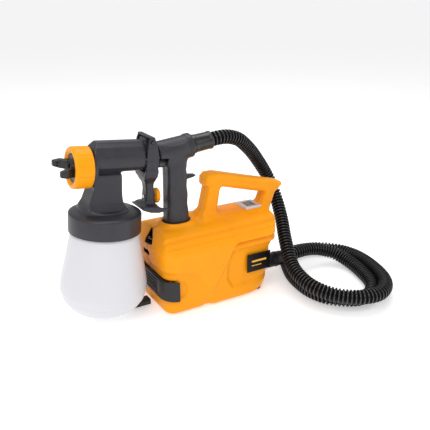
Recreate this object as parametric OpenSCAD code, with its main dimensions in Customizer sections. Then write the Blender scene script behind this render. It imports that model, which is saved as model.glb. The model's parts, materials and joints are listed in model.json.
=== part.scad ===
// Floor-standing paint sprayer: a turbine box with a carry handle, a corrugated air hose and a
// cup gun whose grip stands in a socket in the box. Millimetres, +Z up, nozzle towards -X.
// The origin is on the floor, midway between the front of the cup and the handle's tail.

/* [Box] */
// Length of the box from its front face to the crown of its bowed rear face
box_l = 211; // [206:1:216]
// Half of the width of the box
box_hw = 65; // [63:1:70]
// Height of the roof's rim, where it turns down to the shoulder band
roof_z = 117; // [116:1:118]
// Height of the crown of the roof between the handle's posts
crown_z = 121; // [119:1:123]
// Wall thickness of the two housing shells
wall = 2.6; // [2:0.1:3]
// Radius of the vertical corners at the front
corner_r = 26; // [20:1:30]

/* [Handle] */
// Width of the carry handle
handle_w = 26; // [22:1:30]
// Height of the front end of the handle
handle_z = 190; // [186:1:194]

/* [Gun] */
// Nozzle-up tilt of the gun while it stands in its socket
gun_pitch = 5; // [4:0.5:6]
// Radius of the yellow ring nut
ring_r = 28; // [27:0.5:29]
// Radius of the cup's lid
lid_r = 49.7; // [49:0.1:51]
// Largest radius of the cup
cup_r = 61.3; // [58:0.1:62]
// Radius of the needle
needle_r = 1.5; // [1.2:0.1:1.8]
// Radius of the flow knob
knob_r = 11; // [9:0.5:12]

/* [Hose] */
// Outer diameter of the corrugated hose over its ribs
hose_d = 22; // [20:1:23]

/* [Hidden] */
$fn = 64;
gap = 0.2;                 // gap left between neighbouring fixed pieces
run = 0.3;                 // gap left beside a moving piece
frame_dx = 3;              // shifts the whole machine so that the origin is midway along it
split = 400;               // size of the blocks that cut shells into halves

// Box, in its own axes: x = 0 is 48 mm behind the front face, under the gun's grip
box_x0 = -48;
box_x1 = box_x0 + box_l;
foot_h = 2;
band_z = 96;               // height where the side walls turn in
band_in = 12;              // how far the shoulder band leans in
valley_z = 108;            // upper edge of the shoulder band
rim_in = 17;               // how far in the roof's rim lies
crown_hw = 30;             // half width of the flat crown
tail_r = 87;               // radius of the bowed rear face
tail_x = box_x1 - tail_r;
grille_z0 = 24;
grille_z1 = 56;
grille_x1 = -26;           // rear ends of the grille's two wings
grille_t = 3;
socket_a = 19.3;           // half depth of the grip, front to back
socket_b = 16;             // half width of the grip
grip_x = 1;                // middle of the grip
grip_z0 = 70;              // lower end of the grip in its socket
rim_z = 125;               // top of the socket's rim
skid_l = 29;
skid_hw = 8;
fan_z = 58;                // height of the motor's axis
port_y = -30;
port_z = 34;
port_r = 11.8;
gland_y = 30;
gland_z = 34;
gland_bore_r = 4.1;
gland_x = 161;             // mouth of the power cord's gland
label_x = 109;
switch_x = 129;            // the switch lies across the roof
switch_a = 14;             // half sizes of its bezel
switch_b = 15;

// Gun, in its own axes: x along the barrel, z along the cup, origin under the cup
gun_x = -121;
axis_z = 222.8;            // height of the needle's axis
barrel_top = 257;
barrel_bottom = 217;
barrel_hw = 19;
barrel_x1 = 50;
air_z = 240;               // height of the air passage over the needle
air_r = 8.5;
tube_slope = 11;           // rise of the rear body towards the hose
tube_x = 159;
tube_z = 253.2;
tube_r = 16.6;
cuff_r = 13.7;
lid_z0 = 131.7;
lid_z1 = 156;
lid_top = 164;
cup_t = 1.8;
pivot_x = 57;
pivot_z = 257;
pull_x = 59.5;             // where the trigger's stubs push the needle's collar
knob_z = 175.6;
cap_turn = 10;             // how far the air cap's horns are turned from level

// Route of the free hose, middle of the tube, in the box's axes
hose_path = [
    [59.6, 0, 238.4], [76, 0, 240], [94, 3, 238.2], [114, 8.5, 231], [134, 19, 217.5], [155, 31, 200.5],
    [174, 40, 181], [190, 43, 160], [200, 38, 138], [201, 22, 115], [193, -4, 92], [179, -34, 70],
    [168, -60, 53], [160, -84, 41], [157, -108, 35], [159, -133, 31], [170, -157, 28],
    [188, -176, 26.5], [211, -188, 25.5], [236, -190, 24.5], [259, -180, 23.5], [278, -162, 22],
    [293, -138, 20], [306, -110, 17], [316, -80, 14.5], [320, -50, 12.6], [313, -22, 12], [294, 0, 12],
    [268, 13, 12], [240, 16, 12], [215, 8, 12], [203, -9, 12], [191, -32, 11.2], [180, -57, 11.2],
    [173, -84, 12], [171, -112, 12], [178, -139, 12], [194, -158, 12], [215, -169, 12],
    [238, -168, 12], [258, -156, 12], [273, -137, 12], [283, -112, 12], [290, -84, 13],
    [290, -58, 16], [279, -37, 22], [259, -27, 28.5], [234, -25, 33], [208, -28, 34.6],
    [188, -30, 34], [177, -30, 34]
];

// ---------------------------------------------------------------- frames and small helpers

module in_box() {
    translate([-frame_dx, 0, 0]) children();
}

module in_gun() {
    translate([gun_x - frame_dx, 0, 0]) rotate([0, gun_pitch, 0]) children();
}

// Axes of the sloping rear body: x along the tube, origin at its hose end
module in_tube() {
    in_gun() translate([tube_x, 0, tube_z]) rotate([0, -tube_slope, 0]) children();
}

module rod_x(r, x0, x1, y = 0, z = 0) {
    translate([x0, y, z]) rotate([0, 90, 0]) cylinder(r = r, h = x1 - x0);
}

module rod_y(r, y0, y1, x = 0, z = 0) {
    translate([x, y1, z]) rotate([90, 0, 0]) cylinder(r = r, h = y1 - y0);
}

module pipe_x(r, bore, x0, x1, y = 0, z = 0) {
    difference() {
        rod_x(r, x0, x1, y, z);
        rod_x(bore, x0 - 1, x1 + 1, y, z);
    }
}

// A flat outline in Y and Z, drawn out along X
module along_x(x0, x1) {
    translate([x0, 0, 0]) rotate([90, 0, 90]) linear_extrude(height = x1 - x0) children();
}

// A flat outline in X and Z, drawn out along Y
module along_y(y0, y1) {
    translate([0, y1, 0]) rotate([90, 0, 0]) linear_extrude(height = y1 - y0) children();
}

module block(x0, x1, y0, y1, z0, z1) {
    translate([x0, y0, z0]) cube([x1 - x0, y1 - y0, z1 - z0]);
}

// side = -1 keeps what lies on -Y, side = 1 keeps what lies on +Y
module half(side) {
    intersection() {
        children();
        translate([-split, side < 0 ? -split : 0, -split]) cube([2 * split, split, 3 * split]);
    }
}

module stadium(a, b) {
    square([2 * (a - b), 2 * b], center = true);
    for (s = [-1, 1]) {
        translate([s * (a - b), 0]) circle(r = b);
    }
}

// ---------------------------------------------------------------- box

// Outline seen from above, drawn in by t
module box_plan(t) {
    fx = box_x0 + corner_r;
    intersection() {
        union() {
            translate([tail_x, 0]) circle(r = tail_r - t, $fn = 128);
            translate([tail_x - box_l, -box_hw]) square([box_l, 2 * box_hw]);
        }
        union() {
            translate([fx, t - box_hw]) square([box_l, 2 * (box_hw - t)]);
            translate([box_x0 + t, corner_r - box_hw]) square([box_l, 2 * (box_hw - corner_r)]);
            for (s = [-1, 1]) {
                translate([fx, s * (box_hw - corner_r)]) circle(r = corner_r - t);
            }
        }
    }
}

// Outline seen from the front: upright walls, a shoulder band that leans in, and a low crown
module box_front(t) {
    w = box_hw - t;
    polygon([
        [0, foot_h + t], [w - 5, foot_h + t], [w, foot_h + 5 + t], [w, 84 - t], [w - 1.5, 87],
        [w, 90], [w, band_z - t], [w - band_in, valley_z - t], [w - rim_in, roof_z - t],
        [crown_hw, crown_z - t], [-crown_hw, crown_z - t], [rim_in - w, roof_z - t],
        [band_in - w, valley_z - t], [-w, band_z - t], [-w, 90], [1.5 - w, 87], [-w, 84 - t],
        [-w, foot_h + 5 + t], [5 - w, foot_h + t]
    ]);
}

// Outline seen from the side: square front, tucked-in tail with two rounded steps
module box_side(t) {
    f = box_x0 + t;
    r = box_x1 - t;
    polygon([
        [f + 4, foot_h + t], [f, foot_h + 5 + t], [f, band_z - t], [f + 7, valley_z - t],
        [f + 11, crown_z + 1 - t], [r - 12, crown_z + 1 - t], [r - 9, valley_z - t], [r, band_z - t], [r, 91],
        [r - 3, 88], [r, 85], [r, 78 - t], [r - 3, 72 - t], [r - 3, 40], [r - 9, 26], [r - 14, 9],
        [r - 21, foot_h + t]
    ]);
}

module box_solid(t) {
    intersection() {
        linear_extrude(height = 2 * roof_z) box_plan(t);
        along_x(box_x0 - 5, box_x1 + 5) box_front(t);
        along_y(-box_hw - 5, box_hw + 5) box_side(t);
    }
}

// Side view of the handle: raked front post, bar that slopes to the tail, rear post
module handle_outline() {
    polygon([
        [33, roof_z - 4], [48, 172], [48, 181], [52, handle_z - 2], [59, handle_z], [166, 161],
        [181, 154], [184, 150], [182, 144], [173, 140], [160, 104], [130, 100], [100, roof_z - 4]
    ]);
}

module handle_window(t) {
    polygon([
        [61 - t, crown_z - 8 - t], [71 - t, 167 + t], [151 + t, 145.5 + t], [146 + t, crown_z - 8 - t]
    ]);
}

module handle_solid() {
    difference() {
        along_y(-handle_w / 2, handle_w / 2) handle_outline();
        along_y(-handle_w, handle_w) handle_window(0);
    }
}

module handle_hollow() {
    along_y(wall - handle_w / 2, handle_w / 2 - wall) difference() {
        offset(delta = -wall) handle_outline();
        handle_window(wall);
    }
}

// Raised collar round the grip's socket
module socket_collar(grow) {
    translate([grip_x, 0, 60]) linear_extrude(height = rim_z - 60 - (grow > 3 ? 0 : -5))
        stadium(socket_a + grow, socket_b + grow);
}

// Screws enter from +Y. Their bosses grow from the floor, the end walls and the handle's walls.
box_screw_spots = [[-34, 9], [-38, 100], [50, 9], [141, 9], [152, 100]];
handle_screw_spots = [[55, 178], [160, 150]];
screw_r = 1.6;
screw_head_y = 9;
boss_y = 12;

module screw_bosses() {
    for (p = concat(box_screw_spots, handle_screw_spots)) {
        rod_y(4.8, -boss_y, boss_y, p[0], p[1]);
    }
}

module screw_holes() {
    for (p = concat(box_screw_spots, handle_screw_spots)) {
        rod_y(screw_r, -10, screw_head_y + 1, p[0], p[1]);
        rod_y(3, screw_head_y, box_hw + 2, p[0], p[1]);
    }
}

// Opening behind the air grille, in the front face and round both corners
module grille_cut(z0, z1, x1, t0, t1) {
    translate([0, 0, z0]) linear_extrude(height = z1 - z0) difference() {
        intersection() {
            box_plan(t0);
            translate([-split, -split]) square([split + x1, 2 * split]);
        }
        box_plan(t1);
    }
}

// Triangular pocket and slot high on the front face
module front_pockets() {
    along_x(box_x0 - 1, box_x0 + 7) {
        polygon([[-10, 84], [10, 84], [4, 106], [-4, 106]]);
        translate([-6, 70]) square([12, 9]);
    }
}

module pocket_cups() {
    along_x(box_x0 + wall - 0.1, box_x0 + 9) translate([-14, 66]) square([28, 44]);
}

module label_recess(side) {
    block(label_x - 24, label_x + 24, side * (box_hw + 1) - 2, side * (box_hw + 1) + 2, 38, 71);
}

// Ribs that hold the two rubber mounts of the motor and turbine
module cradle_ribs() {
    intersection() {
        box_solid(wall - 0.5);
        difference() {
            union() {
                block(38, 42, -60, 60, foot_h, 90);
                block(108, 112, -60, 60, foot_h, 112);
            }
            rod_x(36.2, 30, 60, 0, fan_z);
            rod_x(53.4, 100, 120, 0, fan_z);
            block(30, 60, -36.2, 36.2, fan_z, 120);
        }
    }
}

module housing(side) {
    difference() {
        half(side) difference() {
            union() {
                difference() {
                    union() {
                        box_solid(0);
                        handle_solid();
                        difference() {
                            socket_collar(5);
                            block(-60, 60, -60, 60, 0, 100);
                        }
                    }
                    difference() {
                        box_solid(wall);
                        pocket_cups();
                    }
                    handle_hollow();
                }
                intersection() {
                    screw_bosses();
                    union() {
                        box_solid(0.5);
                        handle_solid();
                    }
                }
                cradle_ribs();
            }
            socket_collar(2.2);
            front_pockets();
            grille_cut(grille_z0, grille_z1, grille_x1, -1, grille_t + 3);
            screw_holes();
            rod_x(port_r + gap, 132, box_x1 + 9, port_y, port_z);
            rod_x(8 + gap, 120, box_x1 + 9, gland_y, gland_z);
            block(switch_x - 11, switch_x + 11, -12.2, 12.2, 100, 130);
            for (s = [-1, 1]) {
                label_recess(s);
            }
        }
    }
}

module housing_left() {
    color("orange") in_box() housing(-1);
}

module housing_right() {
    color("orange") in_box() housing(1);
}

module housing_screws() {
    color("dimgray") in_box() for (p = concat(box_screw_spots, handle_screw_spots)) {
        rod_y(screw_r - gap / 2, -9, screw_head_y + 0.1, p[0], p[1]);
        rod_y(3 - gap, screw_head_y + 0.1, screw_head_y + 2.4, p[0], p[1]);
    }
}

module rubber_feet() {
    color("black") in_box() for (x = [-22, 118], s = [-1, 1]) {
        translate([x, s * 42, 0]) cylinder(r = 8, h = foot_h - 0.05);
    }
}

// Black foot that reaches forward from the box under the cup
module front_skid() {
    color("black") in_box() along_y(-skid_hw, skid_hw) polygon([
        [box_x0 - gap, 0], [box_x0 - gap, 9], [box_x0 - 10, 8], [box_x0 - skid_l + 3, 5],
        [box_x0 - skid_l, 2], [box_x0 - skid_l, 0]
    ]);
}

module socket_liner() {
    color("black") in_box() difference() {
        translate([grip_x, 0, grip_z0 - 3]) linear_extrude(height = rim_z - grip_z0 + 3.4)
            stadium(socket_a + 2, socket_b + 2);
        translate([grip_x, 0, grip_z0 - gap]) linear_extrude(height = 90)
            stadium(socket_a + gap, socket_b + gap);
    }
}

// Wrap-round grille with louvre slots in its front
module air_grille() {
    color("dimgray") in_box() difference() {
        grille_cut(grille_z0 + run, grille_z1 - run, grille_x1 - run, 0, grille_t);
        for (i = [0:4]) {
            block(box_x0 - 1, box_x0 + 12, -56, 56, grille_z0 + 4 + i * 5.2, grille_z0 + 7 + i * 5.2);
        }
    }
}

module intake_filter() {
    color("darkslategray") in_box()
        block(box_x0 + grille_t + 3.5, box_x0 + grille_t + 10, -36, 36, grille_z0 + 2, grille_z1 - 2);
}

// ---------------------------------------------------------------- switch and label

module switch_bezel() {
    color("lightgray") in_box() difference() {
        union() {
            block(switch_x - 10.8, switch_x + 10.8, -12, 12, crown_z - 10, crown_z + 0.1);
            block(switch_x - switch_a, switch_x + switch_a, -switch_b, switch_b, crown_z + 0.1, crown_z + 4);
        }
        block(switch_x - 8.8, switch_x + 8.8, -10, 10, crown_z - 12, crown_z + 5);
    }
}

// Rocker: its two wings meet at a shallow angle over the pivot
module switch_rocker() {
    color("gray") in_box() {
        along_y(-9.6, 9.6) polygon([
            [switch_x - 7.6, crown_z + 3], [switch_x, crown_z + 2.6], [switch_x + 7.6, crown_z + 5.4],
            [switch_x + 6, crown_z - 4], [switch_x, crown_z - 7], [switch_x - 6, crown_z - 4]
        ]);
    }
}

module label_plate() {
    color("black") in_box() for (s = [-1, 1]) {
        block(label_x - 20, label_x + 20, s * (box_hw - 0.45) - 0.4, s * (box_hw - 0.45) + 0.4, 41, 68);
    }
}

module cord_gland() {
    color("black") in_box() difference() {
        union() {
            rod_x(8, gland_x - 26, gland_x, gland_y, gland_z);
            rod_x(10, gland_x - 26, gland_x - 23.4, gland_y, gland_z);
        }
        rod_x(gland_bore_r, 120, 180, gland_y, gland_z);
    }
}

// ---------------------------------------------------------------- motor and turbine

module motor_stator() {
    color("silver") in_box() difference() {
        rod_x(31, 56, 82, 0, fan_z);
        rod_x(18, 50, 90, 0, fan_z);
    }
}

// Round end bracket with a hub for a bearing and rods that reach over the stator
module end_bracket(x0, x1, hub0, hub1) {
    difference() {
        union() {
            rod_x(34, x0, x1, 0, fan_z);
            rod_x(12, hub0, hub1, 0, fan_z);
        }
        rod_x(9 + gap, hub0 - 1, hub1 + 1, 0, fan_z);
        for (a = [45:90:315]) {
            rod_x(6.5, x0 - 1, x1 + 1, 21 * cos(a), fan_z + 21 * sin(a));
        }
    }
}

module motor_front_bracket() {
    color("slategray") in_box() {
        end_bracket(34, 37, 34, 42);
        for (a = [0:90:270]) {
            rod_x(2.2, 37, 55.8, 27 * cos(a), fan_z + 27 * sin(a));
        }
    }
}

module motor_rear_bracket() {
    color("slategray") in_box() end_bracket(84, 87, 83, 91);
}

module bearing(x0) {
    pipe_x(9, 4.05, x0, x0 + 7, 0, fan_z);
}

module front_bearing() {
    color("silver") in_box() bearing(34.5);
}

module rear_bearing() {
    color("silver") in_box() bearing(83.5);
}

module motor_shaft() {
    color("lightgray") in_box() rod_x(4, 32, 127, 0, fan_z);
}

module armature() {
    color("sienna") in_box() difference() {
        pipe_x(17, 4, 57, 81, 0, fan_z);
        for (a = [0:30:330]) {
            rod_x(1.6, 50, 90, 16.4 * cos(a), fan_z + 16.4 * sin(a));
        }
    }
}

module commutator() {
    color("peru") in_box() pipe_x(11, 4, 44, 54, 0, fan_z);
}

module carbon_brushes() {
    color("dimgray") in_box() for (s = [-1, 1]) {
        block(45.5, 52.5, s * 17.4 - 6, s * 17.4 + 6, fan_z - 3, fan_z + 3);
    }
}

module motor_mount() {
    color("black") in_box() difference() {
        rod_x(36, 36, 44, 0, fan_z);
        rod_x(34.1, 30, 50, 0, fan_z);
    }
}

module turbine_mount() {
    color("black") in_box() pipe_x(53.2, 52.1, 106, 114, 0, fan_z);
}

module turbine_casing() {
    color("gainsboro") in_box() difference() {
        union() {
            rod_x(52, 96, 134, 0, fan_z);
            rod_x(13.5, 133, 142, port_y, port_z);
        }
        rod_x(49.5, 90, 131.5, 0, fan_z);
        rod_x(10, 120, 150, port_y, port_z);
    }
}

module turbine_cover() {
    color("gainsboro") in_box() difference() {
        union() {
            rod_x(52, 92.5, 95.8, 0, fan_z);
            rod_x(20, 91.2, 93, 0, fan_z);
        }
        rod_x(14, 88, 100, 0, fan_z);
    }
}

// Backward-curved blades between two discs
module impeller(x0) {
    pipe_x(45, 4, x0, x0 + 1.6, 0, fan_z);
    pipe_x(45, 17, x0 + 9.4, x0 + 11, 0, fan_z);
    pipe_x(8, 4, x0, x0 + 9, 0, fan_z);
    for (a = [0:40:320]) {
        translate([x0 + 1.5, 0, fan_z]) rotate([a, 0, 0]) rotate([0, 90, 0]) linear_extrude(height = 8)
            polygon([[7, 0], [20, 7], [33, 10], [44, 10], [44, 11.5], [32, 11.5], [19, 8.6], [7, 2]]);
    }
}

module impeller_first() {
    color("white") in_box() impeller(98);
}

module impeller_second() {
    color("white") in_box() impeller(115);
}

module diffuser() {
    color("silver") in_box() difference() {
        union() {
            rod_x(49.3, 110.6, 112.2, 0, fan_z);
            for (a = [0:45:315]) {
                translate([112, 0, fan_z]) rotate([a, 0, 0]) block(0, 1.8, -1, 1, 18, 46);
            }
        }
        rod_x(12, 100, 120, 0, fan_z);
    }
}

module outlet_port() {
    color("dimgray") in_box() pipe_x(port_r - 0.1, 9, 142.1, 161, port_y, port_z);
}

// Cuff moulded on the hose's end, pushed over the port's mouth
module box_hose_cuff() {
    color("black") in_box() difference() {
        union() {
            rod_x(12.4, 161.1, 170, port_y, port_z);
            rod_x(11.8, 170, 177, port_y, port_z);
        }
        rod_x(8.4, 150, 190, port_y, port_z);
    }
}

// ---------------------------------------------------------------- gun: rear body and grip

// Side view of the grip in the box's upright axes, with finger waves down its back
module grip_side(t) {
    polygon([
        [grip_x - socket_a + t, grip_z0 + t], [grip_x - socket_a + t, 126], [-16.6 + t, 150],
        [-15 + t, 180], [-14.5 + t, 206], [-18 + t, 218], [-18 + t, 236 - t], [16 - t, 240 - t],
        [16 - t, 214], [14.6 - t, 204], [17 - t, 192], [15.6 - t, 178], [18 - t, 166], [16.4 - t, 152],
        [18.6 - t, 140], [grip_x + socket_a - t, 128], [grip_x + socket_a - t, grip_z0 + t]
    ]);
}

module grip_solid(t) {
    in_box() intersection() {
        along_y(-30, 30) grip_side(t);
        translate([grip_x, 0, 40]) linear_extrude(height = 260) stadium(socket_a - t, socket_b - t);
    }
}

module rear_tube(t) {
    in_tube() {
        rod_x(tube_r - t, -88, -42 + t);
        rod_x(tube_r + 1.2 - t, -42, -33 - t);
    }
}

module spur() {
    in_gun() along_y(-5, 5) polygon([
        [112, 196], [118, 197], [126, 198.6], [132, 200.2], [137.5, 203], [131, 203.6], [125, 203.4],
        [119, 204.6], [112, 210]
    ]);
}

grip_screw_spots = [[1, 90], [-3, 150], [0, 200], [2, 226]];

module grip_shell(side) {
    difference() {
        half(side) difference() {
            union() {
                difference() {
                    union() {
                        grip_solid(0);
                        rear_tube(0);
                        spur();
                    }
                    grip_solid(wall);
                    rear_tube(wall);
                }
                in_box() for (p = grip_screw_spots) {
                    rod_y(3.6, wall / 2 - socket_b, socket_b - wall / 2, p[0], p[1]);
                }
            }
            in_box() for (p = grip_screw_spots) {
                rod_y(1.4, -20, 20, p[0], p[1]);
            }
            in_gun() rod_x(5.2, 60, 101, 0, axis_z);
            in_gun() rod_x(air_r + 2.7, 50, 86, 0, air_z);
            in_tube() rod_x(cuff_r - 2 + gap, -50, -20);
        }
    }
}

module grip_left() {
    color("#3a3a40") grip_shell(-1);
}

module grip_right() {
    color("#3a3a40") grip_shell(1);
}

module gun_screws() {
    color("dimgray") in_box() for (p = grip_screw_spots) {
        rod_y(1.4 - gap / 2, -11, 13, p[0], p[1]);
    }
}

module gun_hose_cuff() {
    color("black") in_tube() difference() {
        union() {
            rod_x(cuff_r - 2, -40, -32.8);
            rod_x(cuff_r, -32.8, 0);
        }
        rod_x(8.4, -50, 10);
    }
}

// ---------------------------------------------------------------- gun: spray head

module head_side() {
    polygon([
        [-21, 203], [-21, 246], [-16, barrel_top], [barrel_x1, barrel_top], [barrel_x1, barrel_bottom],
        [26, barrel_bottom - 2], [17, 210], [17, 184], [20, 172], [28, lid_top + 0.2],
        [-36, lid_top + 0.2], [-30, 176], [-21, 196]
    ]);
}

module head_front() {
    polygon([
        [-20, lid_top], [20, lid_top], [17, 180], [16, 205], [barrel_hw, 222], [barrel_hw, 240],
        [14, 250], [7, barrel_top], [-7, barrel_top], [-14, 250], [-barrel_hw, 240], [-barrel_hw, 222],
        [-16, 205], [-17, 180]
    ]);
}

module spray_head() {
    color("#3a3a40") in_gun() difference() {
        union() {
            intersection() {
                along_y(-40, 40) head_side();
                along_x(-40, 60) head_front();
            }
            rod_x(24, -24, -8, 0, axis_z);
            rod_x(20, -34, -24, 0, axis_z);
            rod_x(air_r + 2.4, barrel_x1 - 1, 84, 0, air_z);
            block(pivot_x - 6, pivot_x + 4, -9, 9, barrel_top - 4, pivot_z + 3.2);
            block(pivot_x - 6, pivot_x + 4, -9, 9, air_z + 8, barrel_top - 3);
        }
        rod_x(air_r, -10, 90, 0, air_z);
        pipe_x(17, 9.5, -35, -9, 0, axis_z);
        rod_x(3.4, -30, 60, 0, axis_z);
        rod_x(6.2, -40, -22, 0, axis_z);
        rod_x(5.6, 34, 55, 0, axis_z);
        translate([0, 0, lid_top - 1]) cylinder(r = 4.1, h = axis_z - lid_top);
        translate([0, 13, lid_top - 1]) cylinder(r = 2.5, h = 50);
        rod_y(2.05, -20, 20, pivot_x, pivot_z);
    }
}

module head_gasket() {
    color("black") in_gun() pipe_x(air_r + 2.4, air_r, 84.05, 86, 0, air_z);
}

// ---------------------------------------------------------------- gun: lid and cup

module cup_lid() {
    color("#3a3a40") in_gun() difference() {
        rotate_extrude($fn = 96) polygon([
            [0, 154], [45.6, 154], [46.9, 152.6], [46.9, lid_z0], [lid_r, lid_z0], [lid_r, lid_z1],
            [lid_r - 3, lid_z1 + 2.6], [34, lid_top], [0, lid_top]
        ]);
        cylinder(r = 4.1, h = 200);
        translate([0, 13, 0]) cylinder(r = 2.5, h = 200);
    }
}

module lid_gasket() {
    color("white") in_gun() rotate_extrude($fn = 96) translate([38, 152]) square([7, 1.9]);
}

module paint_cup() {
    color("white") in_gun() rotate_extrude($fn = 96) difference() {
        polygon([
            [0, 14.5], [28, 13.5], [40, 15.5], [50, 22], [57.5, 33], [cup_r, 47], [cup_r - 0.7, 59],
            [47.5, 128], [46.2, 131], [46.2, 151.8], [0, 151.8]
        ]);
        polygon([
            [0, 14.5 + cup_t], [28, 13.5 + cup_t], [39.4, 17.3], [48.9, 23.5], [56, 33.8],
            [cup_r - cup_t, 47.2], [cup_r - 0.7 - cup_t, 59], [47.5 - cup_t, 128],
            [46.2 - cup_t, 131], [46.2 - cup_t, 153], [0, 153]
        ]);
    }
}

module pickup_tube() {
    color("white") in_gun() difference() {
        translate([0, 0, 26]) cylinder(r = 3.9, h = 185);
        translate([0, 0, 25]) cylinder(r = 2.7, h = 190);
    }
}

// Small valve that lets air into the cup and holds the paint back
module check_valve() {
    color("white") in_gun() difference() {
        translate([0, 13, 147]) cylinder(r = 4.4, h = 6.8);
        translate([0, 13, 146]) cylinder(r = 2, h = 4);
        translate([0, 13, 149]) cylinder(r = 1.2, h = 10);
    }
}

// ---------------------------------------------------------------- gun: nozzle and needle

module fluid_nozzle() {
    color("silver") in_gun() difference() {
        union() {
            rod_x(6, -40, -24, 0, axis_z);
            rod_x(8.6, -40, -34.2, 0, axis_z);
            translate([-40, 0, axis_z]) rotate([0, -90, 0]) cylinder(r1 = 6, r2 = 2.6, h = 8);
        }
        rod_x(needle_r + 0.8, -60, -20, 0, axis_z);
    }
}

module nozzle_seal() {
    color("black") in_gun() pipe_x(6, 3, -23.8, -22.2, 0, axis_z);
}

module needle() {
    color("silver") in_gun() {
        rod_x(needle_r, -48, 88, 0, axis_z);
        rod_x(5.8, pull_x + 2.4, pull_x + 4.4, 0, axis_z);
    }
}

module needle_spring() {
    color("gray") in_gun() pipe_x(3.4, needle_r + 0.5, 68.6, 76, 0, axis_z);
}

module needle_packing() {
    color("white") in_gun() pipe_x(5.4, needle_r + 0.05, 38, 46, 0, axis_z);
}

// Sleeve that guides the needle's tail and backs its spring
module needle_guide() {
    color("gray") in_gun() pipe_x(5, needle_r + 0.06, 76.5, 99, 0, axis_z);
}

module air_cap() {
    color("#202024") in_gun() translate([0, 0, axis_z]) rotate([cap_turn, 0, 0]) difference() {
        union() {
            rod_x(20, -46, -41);
            rod_x(12, -48.5, -46);
            for (s = [-1, 1]) {
                along_y(s * 12.5 - 4, s * 12.5 + 4)
                    polygon([[-46, -6], [-60, -6], [-67, -3.5], [-67, 3.5], [-60, 6], [-46, 6]]);
            }
        }
        rod_x(6.6, -50, -40);
        for (s = [-1, 1]) {
            rod_y(1, s * 12.5 - 6, s * 12.5 + 6, -58);
        }
    }
}

module ring_nut() {
    color("orange") in_gun() difference() {
        union() {
            rod_x(ring_r, -46, -24.3, 0, axis_z);
            translate([-46, 0, axis_z]) rotate([0, -90, 0]) cylinder(r1 = ring_r, r2 = ring_r - 3, h = 3);
        }
        rod_x(18, -60, -20, 0, axis_z);
        rod_x(20 + run, -46.4, -20, 0, axis_z);
        rod_x(24 + run, -35, -20, 0, axis_z);
        for (a = [0:20:340]) {
            rod_x(1.2, -60, -20, (ring_r + 0.5) * cos(a), axis_z + (ring_r + 0.5) * sin(a));
        }
    }
}

// ---------------------------------------------------------------- gun: trigger

module trigger_plates() {
    for (s = [-1, 1]) {
        along_y(s * 21.2 - 1.5, s * 21.2 + 1.5) polygon([
            [50, 212], [50, 250], [53, 263], [61, 263], [67, 250], [69, 236], [69, 212]
        ]);
    }
}

module trigger() {
    color("#3a3a40") in_gun() difference() {
        union() {
            trigger_plates();
            block(52, 62, -22.7, 22.7, 261.6, 265);
            block(50, 69, -22.7, 22.7, 209, 213.2);
            for (s = [-1, 1]) {
                rod_y(2, s > 0 ? 3.2 : -21, s > 0 ? 21 : -3.2, pull_x, axis_z);
            }
            along_y(-9, 9) polygon([
                [54, 212], [69, 212], [68, 196], [69, 180], [72, 163], [56, 163], [57, 186]
            ]);
            // crescent foot whose two rear horns pass either side of the grip
            intersection() {
                difference() {
                    along_y(-24, 24) polygon([
                        [42, 165], [50, 159], [60, 156.4], [72, 156], [84, 157.4], [97, 161], [86, 161.6],
                        [76, 163.2], [68, 165.4], [56, 166], [50, 164]
                    ]);
                    block(74, 110, -18, 18, 150, 170);
                }
                translate([77, 0, 150]) scale([36, 23, 1]) cylinder(r = 1, h = 20);
            }
        }
        rod_y(2.08, -30, 30, pivot_x, pivot_z);
        rod_x(2.6, 40, 80, 0, knob_z);
    }
}

module trigger_pin() {
    color("silver") in_gun() rod_y(2, -24, 24, pivot_x, pivot_z);
}

module flow_screw() {
    color("silver") in_gun() rod_x(2.5, 56, 73, 0, knob_z);
}

module flow_knob() {
    color("orange") in_gun() difference() {
        rod_x(knob_r, 73, 78.4, 0, knob_z);
        for (a = [0:30:330]) {
            rod_x(1, 70, 80, (knob_r + 0.3) * cos(a), knob_z + (knob_r + 0.3) * sin(a));
        }
    }
}

// ---------------------------------------------------------------- hose

// A round tube through a list of points, with a ring of corners square to the route at each one
module tube_along(pts, r, sides) {
    n = len(pts);
    dirs = [for (i = [0:n - 1]) let (d = pts[min(i + 1, n - 1)] - pts[max(i - 1, 0)]) d / norm(d)];
    points = [for (i = [0:n - 1], j = [0:sides - 1]) let (
        side = cross(dirs[i], [0, 0, 1]) / norm(cross(dirs[i], [0, 0, 1])),
        up = cross(side, dirs[i]),
        a = 360 * j / sides
    ) pts[i] + r * (cos(a) * side + sin(a) * up)];
    walls = [for (i = [0:n - 2], j = [0:sides - 1]) let (k = (j + 1) % sides)
        [i * sides + j, i * sides + k, (i + 1) * sides + k, (i + 1) * sides + j]];
    ends = [[for (j = [sides - 1:-1:0]) j], [for (j = [0:sides - 1]) (n - 1) * sides + j]];
    polyhedron(points = points, faces = concat(walls, ends), convexity = 10);
}

module air_hose() {
    color("#222226") in_box() tube_along(hose_path, hose_d / 2, 12);
}

// ---------------------------------------------------------------- assembly

housing_left();
housing_right();
housing_screws();
rubber_feet();
front_skid();
socket_liner();
air_grille();
intake_filter();
switch_bezel();
switch_rocker();
label_plate();
cord_gland();
motor_stator();
motor_front_bracket();
motor_rear_bracket();
front_bearing();
rear_bearing();
motor_shaft();
armature();
commutator();
carbon_brushes();
motor_mount();
turbine_mount();
turbine_casing();
turbine_cover();
impeller_first();
diffuser();
impeller_second();
outlet_port();
box_hose_cuff();
grip_left();
grip_right();
gun_screws();
spray_head();
head_gasket();
cup_lid();
lid_gasket();
paint_cup();
pickup_tube();
check_valve();
fluid_nozzle();
nozzle_seal();
needle();
needle_spring();
needle_packing();
needle_guide();
air_cap();
ring_nut();
trigger();
trigger_pin();
flow_knob();
flow_screw();
gun_hose_cuff();
air_hose();
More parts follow.
